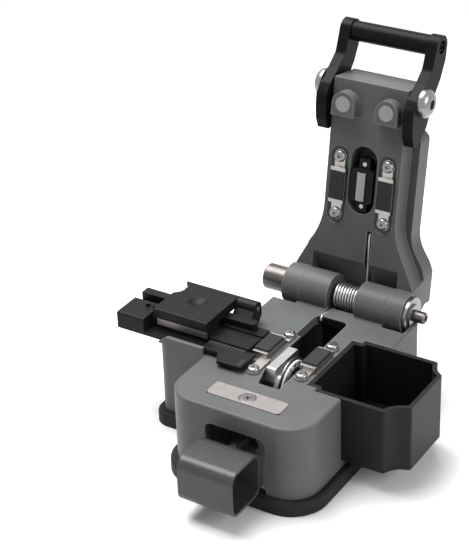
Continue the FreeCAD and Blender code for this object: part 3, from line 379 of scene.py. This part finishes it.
# %% The object's materials
# Boxes where the housing's paint is painted near-black, a painted shade in the slot and the
# front opening.
SLOT = ((-5.7, -18, 3), (6.2, 31, 32.4))
FRONT_OPENING = ((-9.7, -39.9, 4), (12.2, -18, 17.5))
PAINT = grey_paint("satin_grey_paint")
HOUSING_PAINT = grey_paint("satin_grey_paint_housing", [SLOT, FRONT_OPENING])
RUBBER = black_rubber()
PAD = black_rubber("clamp_pad_rubber", (0.021, 0.021, 0.021))
PLASTIC = black_plastic()
HOLDER = black_anodised("holder_anodised_black", (0.010, 0.010, 0.0105), sheen=0.10)
RULER = black_anodised("ruler_anodised_black", (0.0105, 0.0105, 0.011), sheen=0.12, rows=[
    ((-28.2, -10.4, 35.2), (-13.6, -8.3, 36), "X", 1.0, -28),
    ((-12.1, -18, 35.2), (-10.2, -14.2, 36), "Y", 0.8, -17.8)])
HANDLE = black_anodised("handle_anodised_black", (0.0065, 0.0065, 0.0068), 0.34, sheen=0.06)
# The tab's edges get a strong painted highlight.
TAB = black_anodised("tab_anodised_grey", (0.040, 0.040, 0.041), 0.36, sheen=0.35, edge_highlight=0.9)
KEEPER = bright_steel("keeper_ground_steel", (0.26, 0.24, 0.237), 0.42, stretch=(0.12, 1, 1))
SHAFT = bright_steel("shaft_turned_steel", (0.115, 0.105, 0.102), 0.36, stretch=(1, 0.1, 0.1))
PLATED = bright_steel("screw_plated_steel", (0.28, 0.274, 0.266), 0.27)
CLAMP = bright_steel("clamp_satin_nickel", (0.47, 0.445, 0.43), 0.32, stretch=(1, 0.2, 1))
DARK_SCREW = bright_steel("keeper_screw_dark_steel", (0.20, 0.19, 0.19), 0.34)
MAGNET = bright_steel("magnet_nickel_plate", (0.27, 0.26, 0.255), 0.4)
BRACKET = bright_steel("bracket_satin_steel", (0.50, 0.485, 0.475), 0.32, stretch=(1, 0.2, 0.2))
CARBIDE = bright_steel("blade_ground_carbide", (0.20, 0.20, 0.205), 0.3)
SPRING_STEEL = bright_steel("spring_wire_steel", (0.50, 0.49, 0.48), 0.34, marks=0.6)
BRONZE = bright_steel("bush_sintered_bronze", (0.50, 0.36, 0.19), 0.45)
ALUMINIUM = bright_steel("carriage_milled_aluminium", (0.55, 0.55, 0.55), 0.4,
                         stretch=(1, 0.15, 1))
DIAL = dial_enamel()
INK = number_ink()
print("materials:", len(bpy.data.materials))

# %% [markdown]
# ## Dressing the imported pieces
#
# Every imported node keeps its mesh and only has its material changed.  A table from finish to
# node names is easy to check against the object: anything missing from it would still show its
# imported plain colour.

# %% Give each node its finish
WEARS = {
    PAINT: ["lid_arm"],
    HOUSING_PAINT: ["body_housing"],
    RUBBER: ["base_mat"],
    PAD: ["lower_pad_left", "lower_pad_right", "upper_pad_left", "upper_pad_right", "cover_pad"],
    PLASTIC: ["scrap_bin"],
    HOLDER: ["holder_rail", "holder_cover", "anvil_holder"],
    RULER: ["holder_plate"],
    HANDLE: ["handle_arm_left", "handle_arm_right", "handle_bar", "bar_screws"],
    TAB: ["pull_tab"],
    KEEPER: ["keeper_plate", "cover_strip"],
    SHAFT: ["hinge_shaft"],
    PLATED: ["hinge_washer", "clamp_screws", "upper_screws", "pivot_screws",
             "bottom_screws", "rail_screws", "blade_screw", "cover_pin"],
    CLAMP: ["lower_clamp_left", "lower_clamp_right", "upper_clamp_left", "upper_clamp_right",
            "anvil_guides"],
    DARK_SCREW: ["keeper_screw"],
    MAGNET: ["lid_magnets", "anvil_bar"],
    BRACKET: ["blade_bracket", "blade_leaf", "pull_rod"],
    CARBIDE: ["blade_disc"],
    SPRING_STEEL: ["hinge_spring", "anvil_springs"],
    BRONZE: ["lid_bushes"],
    ALUMINIUM: ["carriage_block", "guide_rail", "bottom_plate"],
    DIAL: ["blade_dial"],
}

for material, names in WEARS.items():
    for name in names:
        item = bpy.data.objects[name]
        if not item.material_slots:
            item.data.materials.append(material)
        for place in item.material_slots:
            place.material = material
excluded = set(frame["nodes"]) - {name for names in WEARS.values() for name in names}
print("nodes without a finish:", sorted(excluded))

# %% [markdown]
# ## Floor and world
#
# The floor takes the object's shadow and is almost as white as the background.  Towards its
# rim it fades out, so that no edge and no horizon shows.  The world is white: the camera and
# shiny metal see it at full strength, and everything else gets a weaker share of it as even
# light from all sides, as in a light tent.

# %% White floor and world
FADE_FROM, FADE_TO = 0.16, 0.42
EVEN_LIGHT = 0.31

bpy.ops.object.select_all(action="DESELECT")
bpy.ops.mesh.primitive_plane_add(size=6, location=(0, 0, -0.0001))
floor = bpy.context.object
floor.name = "studio_floor"
white = Finish("studio_white", (0.93, 0.93, 0.93), 0.95)
floor.data.materials.append(white.material)
from_middle = white.place.node("ShaderNodeVectorMath", {"operation": "LENGTH"},
                               {0: white.place}, "Value")
clear = white.place.node("ShaderNodeBsdfTransparent")
fade = white.place.node("ShaderNodeMixShader", None, {
    0: from_middle.between(FADE_FROM, FADE_TO), 1: white.shader.outputs[0], 2: clear})
surface = next(n for n in white.tree.nodes if n.type == "OUTPUT_MATERIAL").inputs["Surface"]
feed(white.tree, surface, fade)

scene = bpy.context.scene
scene.view_settings.view_transform = "Standard"
world = bpy.data.worlds.new("studio_world")
scene.world = world
world.use_nodes = True
sky_tree = world.node_tree
sky = next(n for n in sky_tree.nodes if n.type == "BACKGROUND")
seen = Signal(sky_tree).node("ShaderNodeLightPath", output="Is Camera Ray")
mirrored = Signal(sky_tree).node("ShaderNodeLightPath", output="Is Glossy Ray")
feed(sky_tree, sky.inputs["Color"], (1.0, 1.0, 1.0))
feed(sky_tree, sky.inputs["Strength"],
     seen.maths("MAXIMUM", mirrored) * (1 - EVEN_LIGHT) + EVEN_LIGHT)
print("world ready")

# %% [markdown]
# ## Tools for shaping in edit mode
#
# An operator works on whatever is selected, so each step first clears the selection and
# then picks faces or edges by where they are.  These helpers do that picking, and bring a
# finished piece to rest: its place goes into its mesh, and its edges are smoothed where
# they are blunt.

# %% Selection and finishing helpers


def deselect():
    """Select nothing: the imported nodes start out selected."""
    bpy.ops.object.select_all(action="DESELECT")


def choose(item):
    """Select one object alone and make it active."""
    deselect()
    item.select_set(True)
    bpy.context.view_layer.objects.active = item


def pick(item, kind, test):
    """Select only the faces, edges or vertices whose middle passes a test, in edit mode."""
    mesh = bmesh.from_edit_mesh(item.data)
    bpy.ops.mesh.select_mode(type={"faces": "FACE", "edges": "EDGE", "verts": "VERT"}[kind])
    bpy.ops.mesh.select_all(action="DESELECT")
    for part in getattr(mesh, kind):
        if kind == "faces":
            middle = part.calc_center_median()
        elif kind == "edges":
            middle = (part.verts[0].co + part.verts[1].co) / 2
        else:
            middle = part.co
        part.select = test(middle, part)
    mesh.select_flush_mode()
    bmesh.update_edit_mesh(item.data)


def settle(item, name, material, body, angle=35):
    """Put the place into the mesh, dress the piece and let it ride on its body."""
    choose(item)
    bpy.ops.object.transform_apply(location=True, rotation=True, scale=True)
    item.name = item.data.name = name
    item.data.materials.clear()
    item.data.materials.append(material)
    bpy.ops.object.shade_smooth_by_angle(angle=math.radians(angle))
    if body:
        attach(item, body)
    return item


def join(items):
    """Make one object of several."""
    choose(items[0])
    for item in items:
        item.select_set(True)
    if len(items) > 1:
        bpy.ops.object.join()
    return bpy.context.object


print("shaping helpers ready")

# %% [markdown]
# ## Wire bent into a spring
#
# The hinge spring is one length of wire: a straight leg under the housing's edge, close turns
# round the shaft, and a long leg that lies in the lid's slot and pushes it open.  A tube can be
# drawn along a curve, so the wire's centre line is worked out as a helix with three points for
# each leg, and the curve's own bevel gives it a round section.

# %% Helpers for wire
WIRE_R = 0.45 * MM
COIL_R = 4.45 * MM
COIL_HALF = 4.6 * MM
TURNS = 9
LOW_LEG_ANGLE, HIGH_LEG_ANGLE = math.radians(-98), math.radians(-5.5)


def bent_wire(name, points, radius, sides=3):
    """A round wire through a list of points, as a mesh."""
    curve = bpy.data.curves.new(name, "CURVE")
    curve.dimensions = "3D"
    curve.bevel_depth = radius
    curve.bevel_resolution = sides
    curve.use_fill_caps = True
    line = curve.splines.new("POLY")
    line.points.add(len(points) - 1)
    for spot, point in zip(line.points, points):
        spot.co = (*point, 1)
    item = bpy.data.objects.new(name, curve)
    scene.collection.objects.link(item)
    choose(item)
    bpy.ops.object.convert(target="MESH")
    return bpy.context.object


def coil(middle, along, start_direction, radius, length, turns, per_turn=24):
    """Points of a helix round an axis, from its start to its end."""
    along = along.normalized()
    first = start_direction.normalized()
    second = along.cross(first)
    count = round(turns * per_turn)
    points = []
    for step in range(count + 1):
        angle = 2 * math.pi * turns * step / count
        points.append(middle + along * length * (step / count - 0.5)
                      + (first * math.cos(angle) + second * math.sin(angle)) * radius)
    return points


print("wire helpers ready")

# %% The hinge spring's two legs and its turns
swept = HIGH_LEG_ANGLE - LOW_LEG_ANGLE + 2 * math.pi * (TURNS - 1)
first = Vector((0, math.cos(LOW_LEG_ANGLE), math.sin(LOW_LEG_ANGLE)))
middle_part = coil(HINGE, Vector((1, 0, 0)), first, COIL_R, 2 * COIL_HALF,
                   swept / (2 * math.pi))
# The low leg lies on the housing's edge, and the high one in the lid's slot.
low_leg = [Vector((-4.6, 27.7, 31.2)) * MM, Vector((-4.6, 27.9, 32.5)) * MM,
           Vector((-4.6, 28.6, 32.9)) * MM]
high_leg = [on_lid(4.6, 2.5, 22), on_lid(4.6, 2.6, 24.2), on_lid(4.6, 3.4, 25)]
spring = bent_wire("hinge_spring_wire", low_leg + middle_part + high_leg, WIRE_R)
settle(spring, "hinge_spring_wire", SPRING_STEEL, None, angle=60)
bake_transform(spring)
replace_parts(spring, "hinge_spring")
print("spring turns:", round(swept / (2 * math.pi), 2))

# %% [markdown]
# ## The anvil's two little springs
#
# They sit on the guide pins behind the anvil's ears, and give when the anvil is pressed.
# Each is a short coil that rides with the lid.

# %% Anvil springs
SMALL_COIL_R, SMALL_WIRE_R, SMALL_LENGTH, SMALL_TURNS = 1.25 * MM, 0.2 * MM, 3.3 * MM, 4.5
SPRING_FRONT, SPRING_BACK, SPRING_SEAT = 6.3, 9.6, 9.8
for number, up in enumerate((34.2, 49.8)):
    low_end, high_end = on_lid(0, SPRING_BACK, up), on_lid(0, SPRING_FRONT, up)
    points = coil((low_end + high_end) / 2, high_end - low_end, LID_UP, SMALL_COIL_R,
                  SMALL_LENGTH, SMALL_TURNS, per_turn=16)
    name = "anvil_spring_%d" % (number + 1)
    small = bent_wire(name, points, SMALL_WIRE_R, sides=2)
    settle(small, name, SPRING_STEEL, "lid", angle=60)
    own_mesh(small)
    if number == 0:
        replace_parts(small, "anvil_springs")
print("anvil springs made")

# %% [markdown]
# ## Cross-head screws
#
# Four screws hold the lower clamps and four the upper ones.  Each has a domed pan head with
# a cross recess.  The head is a cylinder with its top edge bevelled round, the shank is
# drawn out of its underside, and the recess is cut by two crossed wedges.

# %% How a cross-head screw is shaped


def cut(item, tool):
    """Take one shape out of another, and the tool away."""
    choose(item)
    hollow = item.modifiers.new("cut", "BOOLEAN")
    hollow.object = tool
    hollow.operation = "DIFFERENCE"
    hollow.solver = "EXACT"
    bpy.ops.object.modifier_apply(modifier=hollow.name)
    bpy.data.objects.remove(tool)


def headed(head, height, dome, segments, shank, reach, vertices):
    """A screw without a recess: a disc with a rounded top and a shank drawn out below it."""
    deselect()
    bpy.ops.mesh.primitive_cylinder_add(vertices=vertices, radius=head, depth=height,
                                        location=(0, 0, height / 2))
    item = bpy.context.object
    bpy.ops.object.transform_apply(location=True)
    bpy.ops.object.mode_set(mode="EDIT")
    pick(item, "faces", lambda middle, face: face.normal.z > 0.5)
    bpy.ops.mesh.bevel(offset=dome, offset_type="OFFSET", segments=segments, affect="EDGES")
    pick(item, "faces", lambda middle, face: face.normal.z < -0.5)
    bpy.ops.mesh.inset(thickness=head - shank, depth=0)
    bpy.ops.mesh.extrude_region_move(TRANSFORM_OT_translate={"value": (0, 0, -reach)})
    bpy.ops.object.mode_set(mode="OBJECT")
    return item


def wedge(width, length, depth):
    """A bar that narrows downwards, for cutting one arm of a cross recess."""
    bpy.ops.mesh.primitive_cube_add(size=1, location=(0, 0, 0))
    item = bpy.context.object
    item.dimensions = (length, width, 2 * depth)
    bpy.ops.object.transform_apply(location=False, rotation=False, scale=True)
    bpy.ops.object.mode_set(mode="EDIT")
    pick(item, "faces", lambda middle, face: face.normal.z < -0.5)
    bpy.ops.transform.resize(value=(0.45, 0.6, 1))
    bpy.ops.object.mode_set(mode="OBJECT")
    return item


def cross_screw(head, height, shank, reach, arm, deep):
    """A screw that stands on the origin with its head up; all sizes in metres."""
    item = headed(head, height, height * 0.75, 6, shank, reach, 40)
    for quarter in (0, 1):
        deselect()
        tool = wedge(arm * 0.32, arm * 2, deep)
        tool.rotation_euler.z = quarter * math.pi / 2 + math.pi / 5
        tool.location.z = height
        bpy.context.view_layer.update()
        cut(item, tool)
    return item


print("screw helpers ready")

# %% [markdown]
# ## A screw on every seat
#
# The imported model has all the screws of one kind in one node.  Following the edges from
# vertex to vertex sorts that mesh into its separate solids, and each of them tells where a
# screw stands.  The vertices are taken in the mesh's own order, so that every run numbers
# the screws alike.  Each copy is turned a little further, as no two screws stop alike.

# %% Find the seats and fill them


def islands(node):
    """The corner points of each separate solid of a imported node."""
    mesh = bmesh.new()
    mesh.from_mesh(frame["nodes"][node].data)
    bmesh.ops.remove_doubles(mesh, verts=mesh.verts, dist=1e-6)
    left = set(mesh.verts)
    found = []
    for start in mesh.verts:
        if start not in left:
            continue
        left.discard(start)
        group, waiting = [], [start]
        while waiting:
            vertex = waiting.pop()
            group.append(vertex.co.copy())
            for edge in vertex.link_edges:
                other = edge.other_vert(vertex)
                if other in left:
                    left.discard(other)
                    waiting.append(other)
        found.append(group)
    mesh.free()
    return found


def screws_in_place(pattern, node, direction, head_height, name, material, body, turn=0.7):
    """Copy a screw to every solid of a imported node, each turned a little further."""
    made = []
    tilt = Vector((0, 0, 1)).rotation_difference(direction)
    for number, group in enumerate(islands(node)):
        top = max(point.dot(direction) for point in group)
        inner = sum(group, Vector()) / len(group)
        seat = inner + direction * (top - head_height - inner.dot(direction))
        copy = pattern.copy()
        copy.data = pattern.data.copy()
        scene.collection.objects.link(copy)
        spin = Matrix.Rotation(number * turn, 4, "Z")
        copy.matrix_world = Matrix.Translation(seat) @ tilt.to_matrix().to_4x4() @ spin
        made.append(copy)
    item = settle(join(made), name, material, body)
    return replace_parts(item, node)


print("seats found for the clamps:", len(islands("clamp_screws")))

# %% The clamps' screws
PAN_HEIGHT = 1.3 * MM
pattern = cross_screw(head=2.2 * MM, height=PAN_HEIGHT, shank=0.98 * MM, reach=3.0 * MM,
                      arm=1.15 * MM, deep=0.85 * MM)
lower = screws_in_place(pattern, "clamp_screws", Vector((0, 0, 1)), PAN_HEIGHT,
                        "clamp_screws_cross", PLATED, "root")
upper = screws_in_place(pattern, "upper_screws", LID_OUT, PAN_HEIGHT,
                        "upper_screws_cross", PLATED, "lid")
bpy.data.objects.remove(pattern)
print("screws:", len(lower.data.polygons), len(upper.data.polygons), "faces")

# %% [markdown]
# ## The handle's pivot screws
#
# The handle turns on two large button-head screws with a hexagon socket.  The dome is a
# cylinder whose top edge is bevelled over almost its whole height, and a six-sided prism
# cuts the socket.

# %% Button-head screws on the handle's pivots
BUTTON_R, BUTTON_HEIGHT, BUTTON_DOME = 5.2 * MM, 3.3 * MM, 2.8 * MM
PIVOT_SHANK_R, PIVOT_SHANK = 1.98 * MM, 9.6 * MM
SOCKET_R, SOCKET_DEEP = 1.9 * MM, 1.5 * MM
button = headed(BUTTON_R, BUTTON_HEIGHT, BUTTON_DOME, 8, PIVOT_SHANK_R, PIVOT_SHANK, 48)
deselect()
bpy.ops.mesh.primitive_cylinder_add(vertices=6, radius=SOCKET_R, depth=2 * SOCKET_DEEP,
                                    location=(0, 0, BUTTON_HEIGHT))
cut(button, bpy.context.object)

pivot = next(joint for joint in frame["joints"] if joint["name"] == "handle_pivot")
axle = Vector(pivot["pos_m"])
arm_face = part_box("handle_arm_right")[1].x
heads = []
for side in (1, -1):
    copy = button.copy()
    copy.data = button.data.copy()
    scene.collection.objects.link(copy)
    turn = Matrix.Rotation(side * math.pi / 2, 4, "Y")
    copy.matrix_world = Matrix.Translation((side * arm_face, axle.y, axle.z)) @ turn
    heads.append(copy)
bpy.data.objects.remove(button)
heads = settle(join(heads), "pivot_button_screws", PLATED, "lid")
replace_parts(heads, "pivot_screws")
print("button screws:", len(heads.data.polygons), "faces")

# %% [markdown]
# ## The keeper's flat screw
#
# The screw of the front plate is countersunk, so its head is flat and flush, darker than
# the plate round it, and its cross recess is large.  It is the same screw with a plain
# head, so the same helper serves with other sizes.

# %% Keeper screw
low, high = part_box("keeper_screw")
FLAT_HEIGHT = 0.35 * MM
flat = cross_screw(head=2.9 * MM, height=FLAT_HEIGHT, shank=1.45 * MM, reach=2.6 * MM,
                   arm=1.9 * MM, deep=1.2 * MM)
flat.location = ((low.x + high.x) / 2, (low.y + high.y) / 2, high.z - FLAT_HEIGHT)
flat = settle(flat, "keeper_screw_cross", DARK_SCREW, "root")
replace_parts(flat, "keeper_screw")
print("keeper screw top at", round(high.z / MM, 2), "mm")

# %% [markdown]
# ## Numbers on the wheel
#
# The wheel has a ring with the numbers of its cutting positions, so that a worn place can be
# changed for a fresh one.  Sixteen numbers and a tick for each are set round the ring by a
# loop.  They are flat letters a hair above the ring, and they turn with the wheel.

# %% Dial numbers and ticks
low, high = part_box("blade_dial")
AXLE = Vector((0, (low.y + high.y) / 2, (low.z + high.z) / 2))
RING_FACE = high.x + 0.02 * MM
POSITIONS, FIRST_ANGLE = 16, 0.35
NUMBER_R, TICK_R = 7.5 * MM, 8.3 * MM


def on_ring(angle, radius):
    """A pose on the ring's face, with Y pointing outwards and Z out of the face."""
    across = Vector((1, 0, 0))
    outward = Vector((0, math.cos(angle), math.sin(angle)))
    turned = Matrix((outward.cross(across), outward, across)).transposed().to_4x4()
    return Matrix.Translation(AXLE + outward * radius + across * RING_FACE) @ turned


marks = []
for number in range(POSITIONS):
    angle = 2 * math.pi * number / POSITIONS + FIRST_ANGLE
    deselect()
    bpy.ops.object.text_add(location=(0, 0, 0))
    figure = bpy.context.object
    figure.data.body = str(number + 1)
    figure.data.size = 2.5 * MM
    figure.data.align_x = "CENTER"
    figure.data.align_y = "CENTER"
    figure.data.offset = 0.085 * MM
    bpy.ops.object.convert(target="MESH")
    figure = bpy.context.object
    figure.matrix_world = on_ring(angle, NUMBER_R)
    marks.append(figure)
    deselect()
    bpy.ops.mesh.primitive_plane_add(size=1)
    tick = bpy.context.object
    tick.matrix_world = (on_ring(angle + math.pi / POSITIONS, TICK_R)
                         @ Matrix.Diagonal((0.22 * MM, 0.9 * MM, 1, 1)))
    marks.append(tick)
settle(join(marks), "dial_numbers", INK, "blade")
print("numbers and ticks:", len(marks))

# %% [markdown]
# ## Lamps
#
# One large lamp overhead and a little behind gives the long soft highlights on top of the
# housing and leaves the front faces darker, which is what shows the shape.  A weaker one
# from the right lifts the sides that turn away from it.

# %% Two soft lamps


def lamp(name, place, aim, size, watts):
    """A square soft lamp, turned towards a point; distances are in metres."""
    light = bpy.data.lights.new(name, "AREA")
    light.size = size
    light.energy = watts
    item = bpy.data.objects.new(name, light)
    scene.collection.objects.link(item)
    item.location = place
    item.rotation_euler = (Vector(aim) - Vector(place)).to_track_quat("-Z", "Y").to_euler()


lamp("top_lamp", (-0.25, 0.08, 0.75), aim=(0, 0, 0.04), size=0.55, watts=11.0)
lamp("right_lamp", (0.70, 0.02, 0.40), aim=(0, 0, 0.05), size=0.4, watts=2.8)

# %% [markdown]
# ## Camera
#
# A long lens from the front right, half way up, as for a catalogue picture.  Its direction
# is given by three angles: round the object, above the floor, and a slight tilt of the
# camera about its own line of sight.

# %% Camera
ROUND = math.radians(32.9)
ABOVE = math.radians(29.85)
TILT = math.radians(-2.03)
CAMERA_PLACE = Vector((263.8, -443.2, 359.9)) * MM
right = Vector((math.cos(ROUND), math.sin(ROUND), 0))
away = Vector((math.sin(ROUND) * math.cos(ABOVE), -math.cos(ROUND) * math.cos(ABOVE),
               math.sin(ABOVE)))
over = away.cross(right)
camera = bpy.data.objects.new("camera", bpy.data.cameras.new("camera"))
camera.data.sensor_fit = "VERTICAL"
camera.data.sensor_height = 36
camera.data.lens = 113.5
axes = Matrix((right, over, away)).transposed()
camera.matrix_world = (Matrix.Translation(CAMERA_PLACE)
                       @ axes.to_4x4() @ Matrix.Rotation(TILT, 4, "Z"))
scene.collection.objects.link(camera)
scene.camera = camera
print("camera at", [round(c, 3) for c in camera.location])
